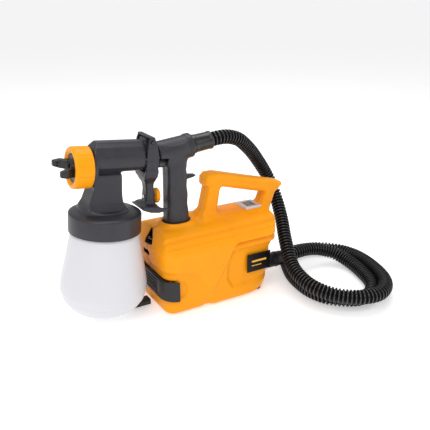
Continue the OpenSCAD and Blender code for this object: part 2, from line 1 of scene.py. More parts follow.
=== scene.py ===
"""Looks of a floor-standing paint sprayer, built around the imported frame.

Shapes are drawn in millimetres, in the machine's own axes: the box's, the gun's or those of the gun's
sloping rear body. piece() turns them into metres in the row's frame.
"""

import json
import math

import bmesh
import bpy
import numpy as np
from mathutils import Matrix, Vector


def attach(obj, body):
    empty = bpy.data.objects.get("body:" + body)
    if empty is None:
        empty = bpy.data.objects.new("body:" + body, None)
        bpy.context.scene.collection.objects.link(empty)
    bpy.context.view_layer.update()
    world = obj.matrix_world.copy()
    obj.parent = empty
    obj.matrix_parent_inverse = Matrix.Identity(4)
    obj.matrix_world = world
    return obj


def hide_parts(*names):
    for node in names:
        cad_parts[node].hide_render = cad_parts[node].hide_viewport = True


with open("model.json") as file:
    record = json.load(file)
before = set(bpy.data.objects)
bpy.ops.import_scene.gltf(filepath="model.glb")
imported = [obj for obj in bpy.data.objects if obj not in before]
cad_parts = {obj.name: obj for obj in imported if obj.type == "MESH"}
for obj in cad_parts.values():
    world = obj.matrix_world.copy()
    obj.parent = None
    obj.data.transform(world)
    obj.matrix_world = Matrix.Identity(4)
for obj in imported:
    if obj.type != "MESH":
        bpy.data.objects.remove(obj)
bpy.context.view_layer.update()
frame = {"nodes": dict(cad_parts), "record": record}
nodes = frame["nodes"]

MM = 0.001
TO_METRES = Matrix.Scale(MM, 4)

# Axes of the three parts of the machine, in millimetres
FRAME_DX = 3.0
GUN_X = -121.0
GUN_PITCH = math.radians(5)
TUBE_X, TUBE_Z = 159.0, 253.2
TUBE_SLOPE = math.radians(11)
BOX = Matrix.Translation((-FRAME_DX, 0, 0))
GUN = Matrix.Translation((GUN_X - FRAME_DX, 0, 0)) @ Matrix.Rotation(GUN_PITCH, 4, "Y")
TUBE = GUN @ Matrix.Translation((TUBE_X, 0, TUBE_Z)) @ Matrix.Rotation(-TUBE_SLOPE, 4, "Y")

# Box
BOX_X0, BOX_X1, BOX_HW = -48.0, 163.0, 65.0
CROWN_Z = 121.0
TAIL_R = 87.0
CORNER_R = 26.0
WALL = 2.6
GRIP_X, SOCKET_A, SOCKET_B = 1.0, 19.3, 16.0
RIM_Z = 125.0
SWITCH_X = 130.0
GLAND_X, GLAND_Y, GLAND_Z = 161.0, 30.0, 34.0
LABEL_X, LABEL_Z, LABEL_DEPTH = 109.5, 55.5, 3.6
LABEL_WIDE, LABEL_TALL = 42.0, 29.5
GRILLE_Z0, GRILLE_Z1 = 24.0, 56.0
FOOT_SPOTS = ((-22, -42), (-22, 42), (118, -42), (118, 42))
SCREW_SPOTS = ((-34, 9), (-38, 100), (50, 9), (141, 9), (152, 100), (55, 178), (160, 150))
PORT_Y, PORT_Z = -30.0, 34.0

# Gun
AXIS_Z = 222.8
AIR_Z = 240.0
PIVOT_X, PIVOT_Z = 57.0, 257.0
KNOB_Z = 175.6
CAP_TURN = 10.0
NUT_GROOVES = 12
KNOB_GROOVES = 16


# ------------------------------------------------------------------ camera, stage and lights

# Metres and degrees
CAMERA_PLACE = (-0.3556, -0.7149, 0.4336)
CAMERA_TILT, CAMERA_TURN = 69.23, -30.47
LENS, SENSOR = 48.14, 36
FLOOR_HALF = 150.0
STUDIO = 0.56


def camera():
    data = bpy.data.cameras.new("camera")
    data.lens = LENS
    data.sensor_width = SENSOR
    seen = bpy.data.objects.new("camera", data)
    seen.location = CAMERA_PLACE
    seen.rotation_euler = (math.radians(CAMERA_TILT), 0, math.radians(CAMERA_TURN))
    bpy.context.scene.collection.objects.link(seen)
    bpy.context.scene.camera = seen


def floor():
    half = FLOOR_HALF
    data = bpy.data.meshes.new("floor")
    data.from_pydata([(-half, -half, 0), (half, -half, 0), (half, half, 0), (-half, half, 0)], [], [(0, 1, 2, 3)])
    made = bpy.data.objects.new("floor", data)
    bpy.context.scene.collection.objects.link(made)
    made.data.materials.append(MATERIALS["floor"])


def softbox(name, place, target, size, power):
    data = bpy.data.lights.new(name, "AREA")
    data.shape = "RECTANGLE"
    data.size, data.size_y = size
    data.energy = power
    made = bpy.data.objects.new(name, data)
    made.location = place
    made.rotation_euler = (Vector(target) - Vector(place)).to_track_quat("-Z", "Y").to_euler()
    bpy.context.scene.collection.objects.link(made)


def lights():
    softbox("key", (-0.9, -0.9, 1.5), (0, 0, 0.1), (1.1, 1.1), 13)
    softbox("fill", (1.3, -1.2, 0.9), (0, 0, 0.1), (1.2, 1.2), 4)
    softbox("top", (0.1, 0.5, 1.9), (0, 0, 0.1), (1.6, 1.2), 14)
    world = bpy.data.worlds.new("studio")
    world.use_nodes = True
    back = world.node_tree.nodes["Background"]
    back.inputs["Color"].default_value = (1, 1, 1, 1)
    back.inputs["Strength"].default_value = STUDIO
    bpy.context.scene.world = world
    bpy.context.scene.view_settings.view_transform = "Standard"


# ------------------------------------------------------------------ materials


def shader(name):
    made = bpy.data.materials.new(name)
    made.use_nodes = True
    return made, made.node_tree, made.node_tree.nodes["Principled BSDF"]


def noise(tree, scale, detail=3.0, stretch=None):
    """A noise texture in the piece's own metres. stretch is a scale for each axis."""
    place = tree.nodes.new("ShaderNodeTexCoord")
    made = tree.nodes.new("ShaderNodeTexNoise")
    made.inputs["Scale"].default_value = scale
    made.inputs["Detail"].default_value = detail
    source = place.outputs["Object"]
    if stretch:
        mapping = tree.nodes.new("ShaderNodeMapping")
        mapping.inputs["Scale"].default_value = stretch
        tree.links.new(source, mapping.inputs["Vector"])
        source = mapping.outputs["Vector"]
    tree.links.new(source, made.inputs["Vector"])
    return made.outputs["Fac"]


def spread_to(tree, source, low, high, socket):
    """Turns a noise into values from low to high on a shader's socket."""
    made = tree.nodes.new("ShaderNodeMapRange")
    made.inputs["From Min"].default_value = 0.3
    made.inputs["From Max"].default_value = 0.7
    made.inputs["To Min"].default_value = low
    made.inputs["To Max"].default_value = high
    tree.links.new(source, made.inputs["Value"])
    tree.links.new(made.outputs["Result"], socket)


def tint(tree, source, dark, light, socket):
    """Turns a noise into a colour between two others."""
    made = tree.nodes.new("ShaderNodeValToRGB")
    made.color_ramp.elements[0].position = 0.3
    made.color_ramp.elements[1].position = 0.7
    made.color_ramp.elements[0].color = (*dark, 1)
    made.color_ramp.elements[1].color = (*light, 1)
    tree.links.new(source, made.inputs["Fac"])
    tree.links.new(made.outputs["Color"], socket)


def grain(tree, bsdf, source, distance, strength=0.5):
    made = tree.nodes.new("ShaderNodeBump")
    made.inputs["Strength"].default_value = strength
    made.inputs["Distance"].default_value = distance
    tree.links.new(source, made.inputs["Height"])
    tree.links.new(made.outputs["Normal"], bsdf.inputs["Normal"])


def surface(name, colour, rough, vary=0.06, grain_scale=1400, grain_depth=0.00006, patch=60, stretch=None, **sockets):
    """A material with fine grain, patches of slightly other colour and uneven gloss."""
    made, tree, bsdf = shader(name)
    light = [min(1, c * (1 + vary)) for c in colour]
    dark = [c * (1 - vary) for c in colour]
    tint(tree, noise(tree, patch, 4), dark, light, bsdf.inputs["Base Color"])
    spread_to(tree, noise(tree, patch * 4, 5), rough * 0.86, rough * 1.14, bsdf.inputs["Roughness"])
    grain(tree, bsdf, noise(tree, grain_scale, 3, stretch), grain_depth)
    for socket, value in sockets.items():
        bsdf.inputs[socket.replace("_", " ")].default_value = value
    return made


def make_materials():
    return {
        "floor": surface("floor", (0.88, 0.88, 0.89), 0.6, 0.01, 300, 0.0001, 3,
                         Emission_Color=(1, 1, 1, 1), Emission_Strength=0.4),
        "yellow_plastic": surface("yellow_plastic", (0.93, 0.34, 0.002), 0.38, 0.03, 1500, 0.00005, 40,
                                  Specular_IOR_Level=0.2),
        "charcoal_plastic": surface("charcoal_plastic", (0.021, 0.021, 0.028), 0.4, 0.14, 1300, 0.00011, 70),
        "black_plastic": surface("black_plastic", (0.006, 0.006, 0.007), 0.4, 0.15, 1200, 0.00008, 70),
        "hose_plastic": surface("hose_plastic", (0.012, 0.012, 0.014), 0.2, 0.15, 900, 0.00004, 50,
                                Specular_IOR_Level=0.6),
        # a near-black copy of the hose plastic for the faces of the grooves between ribs: painted shade in the
        # creases
        "hose_groove_painted_shade": surface("hose_groove_painted_shade", (0.0012, 0.0012, 0.0015), 0.6, 0.2, 900, 0.00004, 50,
                               Specular_IOR_Level=0.1),
        "cup_plastic": surface("cup_plastic", (0.68, 0.68, 0.71), 0.32, 0.008, 800, 0.00002, 12,
                               Specular_IOR_Level=0.35),
        "white_plastic": surface("white_plastic", (0.8, 0.79, 0.76), 0.4, 0.02),
        "grey_plastic": surface("grey_plastic", (0.55, 0.55, 0.57), 0.3, 0.04),
        "silver_plastic": surface("silver_plastic", (0.62, 0.63, 0.65), 0.3, 0.03, Metallic=0.35),
        "rocker_plastic": surface("rocker_plastic", (0.2, 0.2, 0.21), 0.25, 0.05),
        "sleeve_plastic": surface("sleeve_plastic", (0.045, 0.045, 0.05), 0.3, 0.08),
        "label": surface("label", (0.002, 0.002, 0.002), 0.3, 0.2, 700, 0.00001, 50,
                         Specular_IOR_Level=0.25),
        "mark": surface("mark", (0.8, 0.42, 0.05), 0.4, 0.05),
        "dark_mark": surface("dark_mark", (0.03, 0.03, 0.035), 0.45, 0.1),
        "rubber": surface("rubber", (0.018, 0.018, 0.018), 0.75, 0.15, 900, 0.00012),
        "filter_foam": surface("filter_foam", (0.035, 0.04, 0.043), 0.95, 0.3, 700, 0.0006),
        "steel": surface("steel", (0.58, 0.58, 0.6), 0.27, 0.05, 900, 0.00002, stretch=(0.06, 1, 1), Metallic=1.0),
        "dark_steel": surface("dark_steel", (0.06, 0.06, 0.065), 0.35, 0.08, 900, 0.00003, Metallic=0.8),
        "bracket_alloy": surface("bracket_alloy", (0.6, 0.61, 0.63), 0.5, 0.06, 700, 0.0001, Metallic=1.0),
        "copper": surface("copper", (0.72, 0.34, 0.17), 0.33, 0.12, 500, 0.0003, stretch=(1, 0.1, 0.1), Metallic=1.0),
        "carbon": surface("carbon", (0.02, 0.02, 0.021), 0.6, 0.25, 900, 0.0001),
    }


# ------------------------------------------------------------------ meshes


def piece(name, vertices, faces, axes, body, material, stands_for=()):
    """A mesh drawn in millimetres in one of the three sets of axes."""
    data = bpy.data.meshes.new(name)
    data.from_pydata([tuple(v) for v in vertices], [], [tuple(f) for f in faces])
    data.transform(TO_METRES @ axes)
    data.validate()
    data.shade_smooth()
    made = bpy.data.objects.new(name, data)
    bpy.context.scene.collection.objects.link(made)
    made.data.materials.append(MATERIALS[material])
    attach(made, body)
    if stands_for:
        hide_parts(*stands_for)
    return made


def thin_out(made, share):
    """Leaves that share of the faces, and keeps the shape."""
    modifier = made.modifiers.new("thin_out", "DECIMATE")
    modifier.ratio = share
    settle(made)


def settle(made):
    """Turns the piece's modifiers into mesh."""
    shown = made.evaluated_get(bpy.context.evaluated_depsgraph_get())
    data = bpy.data.meshes.new_from_object(shown)
    made.modifiers.clear()
    made.data = data


def crisp(made, angle=32):
    """Edges sharper than the angle stay sharp in the shading."""
    made.data.set_sharp_from_angle(angle=math.radians(angle))


def turned(profile, sides, ripple=None):
    """Vertices and faces of a closed profile of (radius, along) turned about the Z axis.
    ripple(angle, radius, along) gives the radius at an angle."""
    rows = len(profile)
    vertices, faces = [], []
    for i in range(sides):
        a = 2 * math.pi * i / sides
        for r, z in profile:
            rr = ripple(a, r, z) if ripple else r
            vertices.append((rr * math.cos(a), rr * math.sin(a), z))
    for i in range(sides):
        for j in range(rows):
            a, b = i * rows + j, i * rows + (j + 1) % rows
            c, d = (i + 1) % sides * rows + (j + 1) % rows, (i + 1) % sides * rows + j
            faces.append((a, d, c, b))
    return vertices, faces


def rounded(corners, r, steps=3, closed=True):
    """An outline with its corners rounded to radius r, or as far as its edges let it."""
    out = []
    n = len(corners)
    for i, corner in enumerate(corners):
        p = Vector(corner[:2])
        here = corner[2] if len(corner) > 2 else r
        if (not closed and i in (0, n - 1)) or here <= 0:
            out.append(tuple(p))
            continue
        a, b = Vector(corners[i - 1][:2]) - p, Vector(corners[(i + 1) % n][:2]) - p
        half = a.angle(b) / 2
        reach = min(here / math.tan(half), a.length * 0.45, b.length * 0.45)
        start, end = p + a.normalized() * reach, p + b.normalized() * reach
        for k in range(steps + 1):
            t = k / steps
            out.append(tuple((1 - t) ** 2 * start + 2 * t * (1 - t) * p + t * t * end))
    return out


# ------------------------------------------------------------------ shapes as distance fields


class Grid:
    """A block of sample points with a spacing, in millimetres."""

    def __init__(self, low, high, step):
        self.low, self.step = np.array(low, np.float32), step
        axes = [np.arange(a, b + step, step, dtype=np.float32) for a, b in zip(low, high)]
        self.x = axes[0][:, None, None]
        self.y = axes[1][None, :, None]
        self.z = axes[2][None, None, :]
        self.shape = tuple(len(a) for a in axes)


def join(a, b, k):
    """Both shapes, with a fillet of about k where they meet."""
    h = np.clip(0.5 + 0.5 * (b - a) / k, 0, 1)
    return b + (a - b) * h - k * h * (1 - h)


def common(a, b, k):
    """What the shapes share, with rounded edges."""
    return -join(-a, -b, k)


def cut(a, b, k):
    """The first shape without the second."""
    return common(a, -b, k)


def slab(u, low, high):
    return np.maximum(low - u, u - high)


def inset(corners, r):
    """The outline's corners moved inwards by r."""
    p = np.array(corners, float)
    area = np.sum(p[:, 0] * np.roll(p[:, 1], -1) - np.roll(p[:, 0], -1) * p[:, 1])
    ahead = np.roll(p, -1, 0) - p
    ahead /= np.linalg.norm(ahead, axis=1)[:, None]
    side = np.stack([-ahead[:, 1], ahead[:, 0]], 1) * np.sign(area)
    before = np.roll(side, 1, 0)
    return p + r * (side + before) / (1 + (side * before).sum(1))[:, None]


def outline(u, v, corners, r=0.0):
    """Distance to a flat outline whose outward corners have radius r."""
    p = inset(corners, r) if r else np.array(corners, float)
    best, inside = np.float32(1e12), False
    for (ax, ay), (bx, by) in zip(p, np.roll(p, -1, 0)):
        ex, ey = bx - ax, by - ay
        wx, wy = u - ax, v - ay
        t = np.clip((wx * ex + wy * ey) / (ex * ex + ey * ey), 0, 1)
        best = np.minimum(best, (wx - t * ex) ** 2 + (wy - t * ey) ** 2)
        slope = ex / ey if abs(ey) > 1e-9 else 0.0
        inside = inside ^ (((ay > v) != (by > v)) & (u < ax + slope * (v - ay)))
    return (np.where(inside, -1, 1) * np.sqrt(best) - r).astype(np.float32)


def box_field(g, low, high, r=0.0):
    """A block whose edges have radius r."""
    q = [np.abs(c - (a + b) / 2) - (b - a) / 2 + r for c, a, b in zip((g.x, g.y, g.z), low, high)]
    outside = np.sqrt(sum(np.maximum(c, 0) ** 2 for c in q))
    return outside + np.minimum(np.maximum(np.maximum(q[0], q[1]), q[2]), 0) - r


def disc(u, v, cu, cv, r):
    return np.sqrt((u - cu) ** 2 + (v - cv) ** 2) - r


def rod(u, v, w, cu, cv, low, high, r, edge=0.0):
    """A round bar along w, with its rims rounded to edge."""
    a = disc(u, v, cu, cv, r - edge)
    b = slab(w, low + edge, high - edge)
    outside = np.sqrt(np.maximum(a, 0) ** 2 + np.maximum(b, 0) ** 2)
    return outside + np.minimum(np.maximum(a, b), 0) - edge


def stadium(u, v, cu, a, b):
    """A flat shape with two straight sides and two round ends, a and b its half sizes."""
    return np.sqrt(np.maximum(np.abs(u - cu) - (a - b), 0) ** 2 + v**2) - b


def ramp(d, width):
    """0 where d is well below 0, 1 where it is well above, and a smooth slope between."""
    t = np.clip(d / width + 0.5, 0, 1)
    return t * t * (3 - 2 * t)


def surface_net(g, field):
    """Vertices and faces of the surface where the field is 0."""
    field = np.broadcast_to(field, g.shape)
    inside = field < 0
    inner = tuple(s - 1 for s in g.shape)
    corners = [(i, j, k) for i in (0, 1) for j in (0, 1) for k in (0, 1)]
    count = np.zeros(inner, np.int8)
    for i, j, k in corners:
        count += inside[i : inner[0] + i, j : inner[1] + j, k : inner[2] + k]
    active = (count > 0) & (count < 8)
    index = np.full(inner, -1, np.int64)
    cells = np.argwhere(active)
    index[active] = np.arange(len(cells))
    total, number = np.zeros((len(cells), 3)), np.zeros(len(cells))
    for corner in corners:
        start = cells + corner
        fa = field[start[:, 0], start[:, 1], start[:, 2]]
        for axis in range(3):
            if corner[axis]:
                continue
            end = start.copy()
            end[:, axis] += 1
            fb = field[end[:, 0], end[:, 1], end[:, 2]]
            crossed = (fa < 0) != (fb < 0)
            share = fa[crossed] / (fa[crossed] - fb[crossed])
            point = np.tile(np.array(corner, float), (crossed.sum(), 1))
            point[:, axis] += share
            total[crossed] += point
            number[crossed] += 1
    vertices = g.low + g.step * (cells + total / number[:, None])
    faces = []
    for axis in range(3):
        u, v = (axis + 1) % 3, (axis + 2) % 3
        first = [slice(None)] * 3
        second = [slice(None)] * 3
        first[axis], second[axis] = slice(0, -1), slice(1, None)
        low, high = inside[tuple(first)], inside[tuple(second)]
        edges = np.argwhere(low != high)
        edges = edges[(edges[:, u] > 0) & (edges[:, v] > 0)]
        edges = edges[(edges[:, u] < inner[u]) & (edges[:, v] < inner[v])]
        eu, ev = np.eye(3, dtype=int)[u], np.eye(3, dtype=int)[v]
        around = [edges - eu - ev, edges - ev, edges, edges - eu]
        quads = np.stack([index[c[:, 0], c[:, 1], c[:, 2]] for c in around], 1)
        outward = low[edges[:, 0], edges[:, 1], edges[:, 2]]
        faces += list(quads[outward]) + list(quads[~outward][:, ::-1])
    return vertices, faces


def carved(name, g, field, axes, body, material, stands_for=(), share=0.4):
    """A piece from a distance field."""
    vertices, faces = surface_net(g, field)
    made = piece(name, vertices, faces, axes, body, material, stands_for)
    if share < 1:
        thin_out(made, share)
    return made


# ------------------------------------------------------------------ hose

HOSE_D = 22.0
HOSE_ROUTE = [
    (59.6, 0, 238.4), (76, 0, 240), (94, 3, 238.2), (114, 8.5, 231), (134, 19, 217.5), (155, 31, 200.5),
    (174, 40, 181), (190, 43, 160), (200, 38, 138), (201, 22, 115), (193, -4, 92), (179, -34, 70),
    (168, -60, 53), (160, -84, 41), (157, -108, 35), (159, -133, 31), (170, -157, 28),
    (188, -176, 26.5), (211, -188, 25.5), (236, -190, 24.5), (259, -180, 23.5), (278, -162, 22),
    (293, -138, 20), (306, -110, 17), (316, -80, 14.5), (320, -50, 12.6), (313, -22, 12), (294, 0, 12),
    (268, 13, 12), (240, 16, 12), (215, 8, 12), (203, -9, 12), (191, -32, 11.2), (180, -57, 11.2),
    (173, -84, 12), (171, -112, 12), (178, -139, 12), (194, -158, 12), (215, -169, 12),
    (238, -168, 12), (258, -156, 12), (273, -137, 12), (283, -112, 12), (290, -84, 13),
    (290, -58, 16), (279, -37, 22), (259, -27, 28.5), (234, -25, 33), (208, -28, 34.6),
    (188, -30, 34), (177, -30, 34),
]
RIB_PITCH = 5.6
RIB_DEPTH = 3.0
HOSE_SIDES = 28
RINGS_PER_RIB = 6


def smooth_route(points, step):
    """Points a step apart along a smooth curve through the given ones."""
    p = np.array(points, float)
    p = np.vstack([2 * p[0] - p[1], p, 2 * p[-1] - p[-2]])
    dense = []
    for i in range(1, len(p) - 2):
        a, b, c, d = p[i - 1 : i + 3]
        for t in np.arange(0, 1, 0.02):
            dense.append(0.5 * (2 * b + (c - a) * t + (2 * a - 5 * b + 4 * c - d) * t**2
                                + (3 * b - a - 3 * c + d) * t**3))
    dense = np.array([*dense, p[-2]])
    along = np.concatenate([[0], np.cumsum(np.linalg.norm(np.diff(dense, axis=0), axis=1))])
    at = np.linspace(0, along[-1], int(along[-1] / step) + 1)
    return np.stack([np.interp(at, along, dense[:, k]) for k in range(3)], 1)


def frames_along(line):
    """Two directions square to the line at each of its points, without twist."""
    ahead = np.gradient(line, axis=0)
    ahead /= np.linalg.norm(ahead, axis=1)[:, None]
    side = np.cross(ahead[0], (0, 0, 1))
    sides = []
    for d in ahead:
        side = side - d * (side @ d)
        side /= np.linalg.norm(side)
        sides.append(side)
    sides = np.array(sides)
    return sides, np.cross(sides, ahead)


def hose():
    line = smooth_route(HOSE_ROUTE, RIB_PITCH / RINGS_PER_RIB)
    side, up = frames_along(line)
    profile = [0.93, 1.0, 0.93, 0.2, 0.0, 0.2]
    vertices, faces = [], []
    for i, p in enumerate(line):
        r = HOSE_D / 2 - RIB_DEPTH * (1 - profile[i % RINGS_PER_RIB])
        for j in range(HOSE_SIDES):
            a = 2 * math.pi * j / HOSE_SIDES
            vertices.append(p + r * (math.cos(a) * side[i] + math.sin(a) * up[i]))
    for i in range(len(line) - 1):
        for j in range(HOSE_SIDES):
            k = (j + 1) % HOSE_SIDES
            a, b = i * HOSE_SIDES, (i + 1) * HOSE_SIDES
            faces.append((a + j, a + k, b + k, b + j))
    last = (len(line) - 1) * HOSE_SIDES
    faces.append(tuple(range(HOSE_SIDES - 1, -1, -1)))
    faces.append(tuple(range(last, last + HOSE_SIDES)))
    made = piece("corrugated_hose", vertices, faces, BOX, "sprayer", "hose_plastic", ["air_hose"])
    made.data.materials.append(MATERIALS["hose_groove_painted_shade"])
    # the groove faces take the darker copy, as painted shade between the ribs
    for k, face in enumerate(made.data.polygons):
        if k < (len(line) - 1) * HOSE_SIDES and k // HOSE_SIDES % RINGS_PER_RIB >= 2:
            face.material_index = 1


# ------------------------------------------------------------------ housing


def plan(x, ay, t=0.0, tuck=0.0):
    """Outline of the box seen from above, with ay the distance from the middle plane."""
    fx = BOX_X0 + CORNER_R
    qx, qy = np.maximum(fx - x, 0), np.maximum(ay - (BOX_HW - CORNER_R), 0)
    front = np.where(x < fx, np.sqrt(qx**2 + qy**2) - CORNER_R, ay - BOX_HW)
    bow_x = BOX_X1 - TAIL_R
    bow = np.where(x > bow_x, np.sqrt((x - bow_x) ** 2 + ay**2), ay) - TAIL_R + tuck
    return common(front, bow, 9) + t


def side_steps(x, z):
    """How far the side walls step in: round the grille, at the label and along the rear ledge."""
    low_front = outline(x, z, [(-90, 72), (-26, 68), (0, 62), (9, 51), (20, 27), (32, -12), (-90, -12)], 4)
    label_panel = outline(x, z, [(66, 82), (56, 62), (55, 38), (63, 23), (200, 23), (200, 82)], 5)
    ledge = np.interp(z, [82, 84.5, 86, 93.5, 95], [2.6, 2.6, 0.2, 5.4, 0.2])
    ledge = ledge * ramp(x - 66 + 0.6 * (88 - z), 8)
    scoop = outline(x, z, [(-27, 27), (-18, 28), (-13, 34), (-13, 46), (-18, 52), (-27, 53)], 3)
    return 5.2 * ramp(-low_front, 9) + 4.0 * ramp(-label_panel, 7) + 2.4 * ramp(-scoop, 4) + ledge


def box_body(g):
    ay = np.abs(g.y)
    step = side_steps(g.x, g.z)
    hw = BOX_HW
    across = outline(ay + step, g.z, [
        (-60, 1), (hw - 5, 1), (hw, 7), (hw, 93), (hw + 0.6, 96), (hw - 9.5, 102.6), (hw - 12.5, 102.9),
        (hw - 12, 105.5), (hw - 17.5, 109.4), (hw - 20.5, 109.6), (hw - 21, 115.5), (32, CROWN_Z - 0.8), (28, CROWN_Z), (-60, CROWN_Z)
    ], 0.8)
    along = outline(g.x, g.z, [
        (BOX_X0 + 5, 1), (BOX_X0 + 0.5, 8), (BOX_X0, 50), (BOX_X0, 96), (BOX_X0 + 7, 110),
        (BOX_X0 + 12, CROWN_Z + 1), (BOX_X1 - 11, CROWN_Z + 1), (BOX_X1 - 8, 110), (BOX_X1, 98),
        (BOX_X1, 84), (BOX_X1 - 3, 77), (BOX_X1 - 3, 40), (BOX_X1 - 9, 26), (BOX_X1 - 14, 9), (BOX_X1 - 20, 1)
    ], 2)
    tuck = np.interp(g.z, [2, 9, 26, 40, 72, 78], [21, 14, 9, 3, 3, 0])
    body = common(across, plan(g.x, ay, 0.0, tuck) + step, 3.5)
    return common(body, along, 5)


def handle_body(g):
    side = outline(g.x, g.z, [
        (34, 100), (50, 168), (45, 172.5), (45.5, 184), (52, 190), (66, 189.8), (166, 163), (182, 159),
        (187, 155.5), (186, 151.5), (173, 141), (159, 100)
    ], 2)
    window = outline(g.x, g.z, [(61, 100), (72, 167), (154, 144.4), (136.4, 100)], 5)
    return common(cut(side, window, 4), np.abs(g.y) - 13, 7)


def housing_field(g):
    body = box_body(g)
    spine = common(outline(g.x, g.z, [(26, 100), (40, 128), (52, 124), (150, 121.5), (164, 100)], 3),
                   np.abs(g.y) - 20, 10)
    collar = np.maximum(stadium(g.x, g.y, GRIP_X, SOCKET_A + 5, SOCKET_B + 5), slab(g.z, 90, RIM_Z - 0.5))
    full = join(join(body, collar, 12), join(spine, handle_body(g), 10), 9)
    hollow = np.maximum(full + WALL, -box_field(g, (BOX_X0 - 5, -24, 72), (BOX_X0 + 14, 24, 130), 3))
    hollow = np.maximum(hollow, -(stadium(g.x, g.y, GRIP_X, SOCKET_A + 4, SOCKET_B + 4)))
    shell = np.maximum(full, -hollow)
    shell = cut(shell, np.maximum(stadium(g.x, g.y, GRIP_X, SOCKET_A + 2.2, SOCKET_B + 2.2), 60 - g.z), 1.5)
    # opening of the grille
    grille = np.maximum(slab(g.z, GRILLE_Z0, GRILLE_Z1), g.x + 26)
    grille = np.maximum(grille, -(plan(g.x, np.abs(g.y)) + 7))
    shell = cut(shell, grille, 1.5)
    # pocket and slot on the front face
    front = slab(g.x, BOX_X0 - 9, BOX_X0 + 22)
    shell = cut(shell, np.maximum(front, outline(g.y, g.z, [(-14, 99), (11, 95), (6, 118), (0, 118)], 2)), 1.2)
    slot = np.maximum(front, outline(g.y, g.z, [(-4, 79), (15, 79), (15, 85), (-4, 85)], 2))
    shell = cut(shell, slot, 1.2)
    # holes for the port, the power cord, the switch and the screws
    shell = cut(shell, rod(g.y, g.z, g.x, PORT_Y, PORT_Z, 130, 180, 12.2), 0.8)
    shell = cut(shell, rod(g.y, g.z, g.x, GLAND_Y, GLAND_Z, 120, 180, 8.4), 0.8)
    shell = cut(shell, box_field(g, (SWITCH_X - 11, -12.4, 100), (SWITCH_X + 11, 12.4, 140)), 0.8)
    for sx, sz in SCREW_SPOTS:
        shell = cut(shell, rod(g.x, g.z, g.y, sx, sz, 9, 90, 3.2), 0.8)
    return shell


def housing():
    g = Grid((BOX_X0 - 4, -70, -3), (190, 70, 195), 1.2)
    shell = housing_field(g)
    for name, side, node in (("housing_shell_left", 1, "housing_left"), ("housing_shell_right", -1, "housing_right")):
        half = common(shell, side * g.y + 0.08, 0.9)
        made = carved(name, g, half, BOX, "sprayer", "yellow_plastic", [node], 0.45)
        paint_pocket_shade(made)


def paint_pocket_shade(made):
    """The steep walls of the two pockets in the front face are painted black, as painted shade in the recesses."""
    made.data.materials.append(MATERIALS["black_plastic"])
    for face in made.data.polygons:
        x, y, z = face.center / MM
        x += FRAME_DX
        inside = x < BOX_X0 + 24 and -15.5 < y < 16.5 and 77.5 < z < 119.5
        steep = abs(face.normal.x) < 0.62
        lower = z < 88 and -5.5 < y < 16.5
        upper = z > 92 and abs(y - 2) < 14 - (z - 94) * 0.42
        if inside and steep and (lower or upper) and x > BOX_X0 + 0.8 + max(0, z - 96) * 0.5:
            # black plastic on the pocket walls stands for the shade inside the recess
            face.material_index = 1


# ------------------------------------------------------------------ trim of the box


def along_x(axes, y=0.0, z=0.0):
    """Axes whose Z runs along the others' X, at a place in Y and Z."""
    return axes @ Matrix.Translation((0, y, z)) @ Matrix.Rotation(math.radians(90), 4, "Y")


def lathe(name, profile, axes, body, material, stands_for=(), sides=96, ripple=None, angle=35):
    vertices, faces = turned(profile, sides, ripple)
    made = piece(name, vertices, faces, axes, body, material, stands_for)
    mesh = bmesh.new()
    mesh.from_mesh(made.data)
    bmesh.ops.remove_doubles(mesh, verts=mesh.verts, dist=1e-6)
    bmesh.ops.dissolve_degenerate(mesh, edges=mesh.edges, dist=1e-7)
    bmesh.ops.recalc_face_normals(mesh, faces=mesh.faces)
    mesh.to_mesh(made.data)
    mesh.free()
    crisp(made, angle)
    return made


def grille():
    g = Grid((BOX_X0 - 2, -70, 22), (-22, 70, 58), 0.75)
    ay = np.abs(g.y)
    outer = plan(g.x, ay) + 0.5
    shell = np.maximum(outer, -(outer + 3))
    rim = common(slab(g.z, GRILLE_Z0 + 0.4, GRILLE_Z1 - 0.4), g.x + 26.4, 2.5)
    shell = common(shell, rim, 1.2)
    field_part = np.maximum(slab(g.z, 27.5, 52.5), np.maximum(ay - 33, g.x + 30))
    shell = cut(shell, np.maximum(field_part, outer + 0.9), 0.5)
    for i in range(5):
        middle = 30 + i * 5
        lean = (outer + 1.5) * 0.5
        louvre = np.maximum(np.abs(g.z - middle - lean) - 1.25, ay - 31)
        shell = cut(shell, np.maximum(louvre, g.x + 30), 0.4)
    carved("air_grille_cover", g, shell, BOX, "air_grille", "black_plastic", ["air_grille"], 0.5)


def skid():
    g = Grid((BOX_X0 - 33, -12, -2), (BOX_X0 + 2, 12, 12), 0.6)
    side = outline(g.x, g.z, [(BOX_X0, 0.1), (BOX_X0, 9), (BOX_X0 - 10, 8), (BOX_X0 - 26, 5.2),
                              (BOX_X0 - 29, 2.5), (BOX_X0 - 28.5, 0.1)], 1)
    carved("front_skid_moulded", g, common(side, np.abs(g.y) - 8, 2), BOX, "sprayer", "black_plastic",
           ["front_skid"], 0.5)


def socket_trim():
    g = Grid((-26, -24, 64), (28, 24, 130), 0.8)
    tube = common(stadium(g.x, g.y, GRIP_X, SOCKET_A + 2, SOCKET_B + 2), slab(g.z, 67, RIM_Z + 0.4), 0.6)
    bore = np.maximum(stadium(g.x, g.y, GRIP_X, SOCKET_A + 0.35, SOCKET_B + 0.35), 69.8 - g.z)
    carved("socket_rim", g, cut(tube, bore, 0.8), BOX, "sprayer", "black_plastic",
           ["socket_liner"], 0.4)


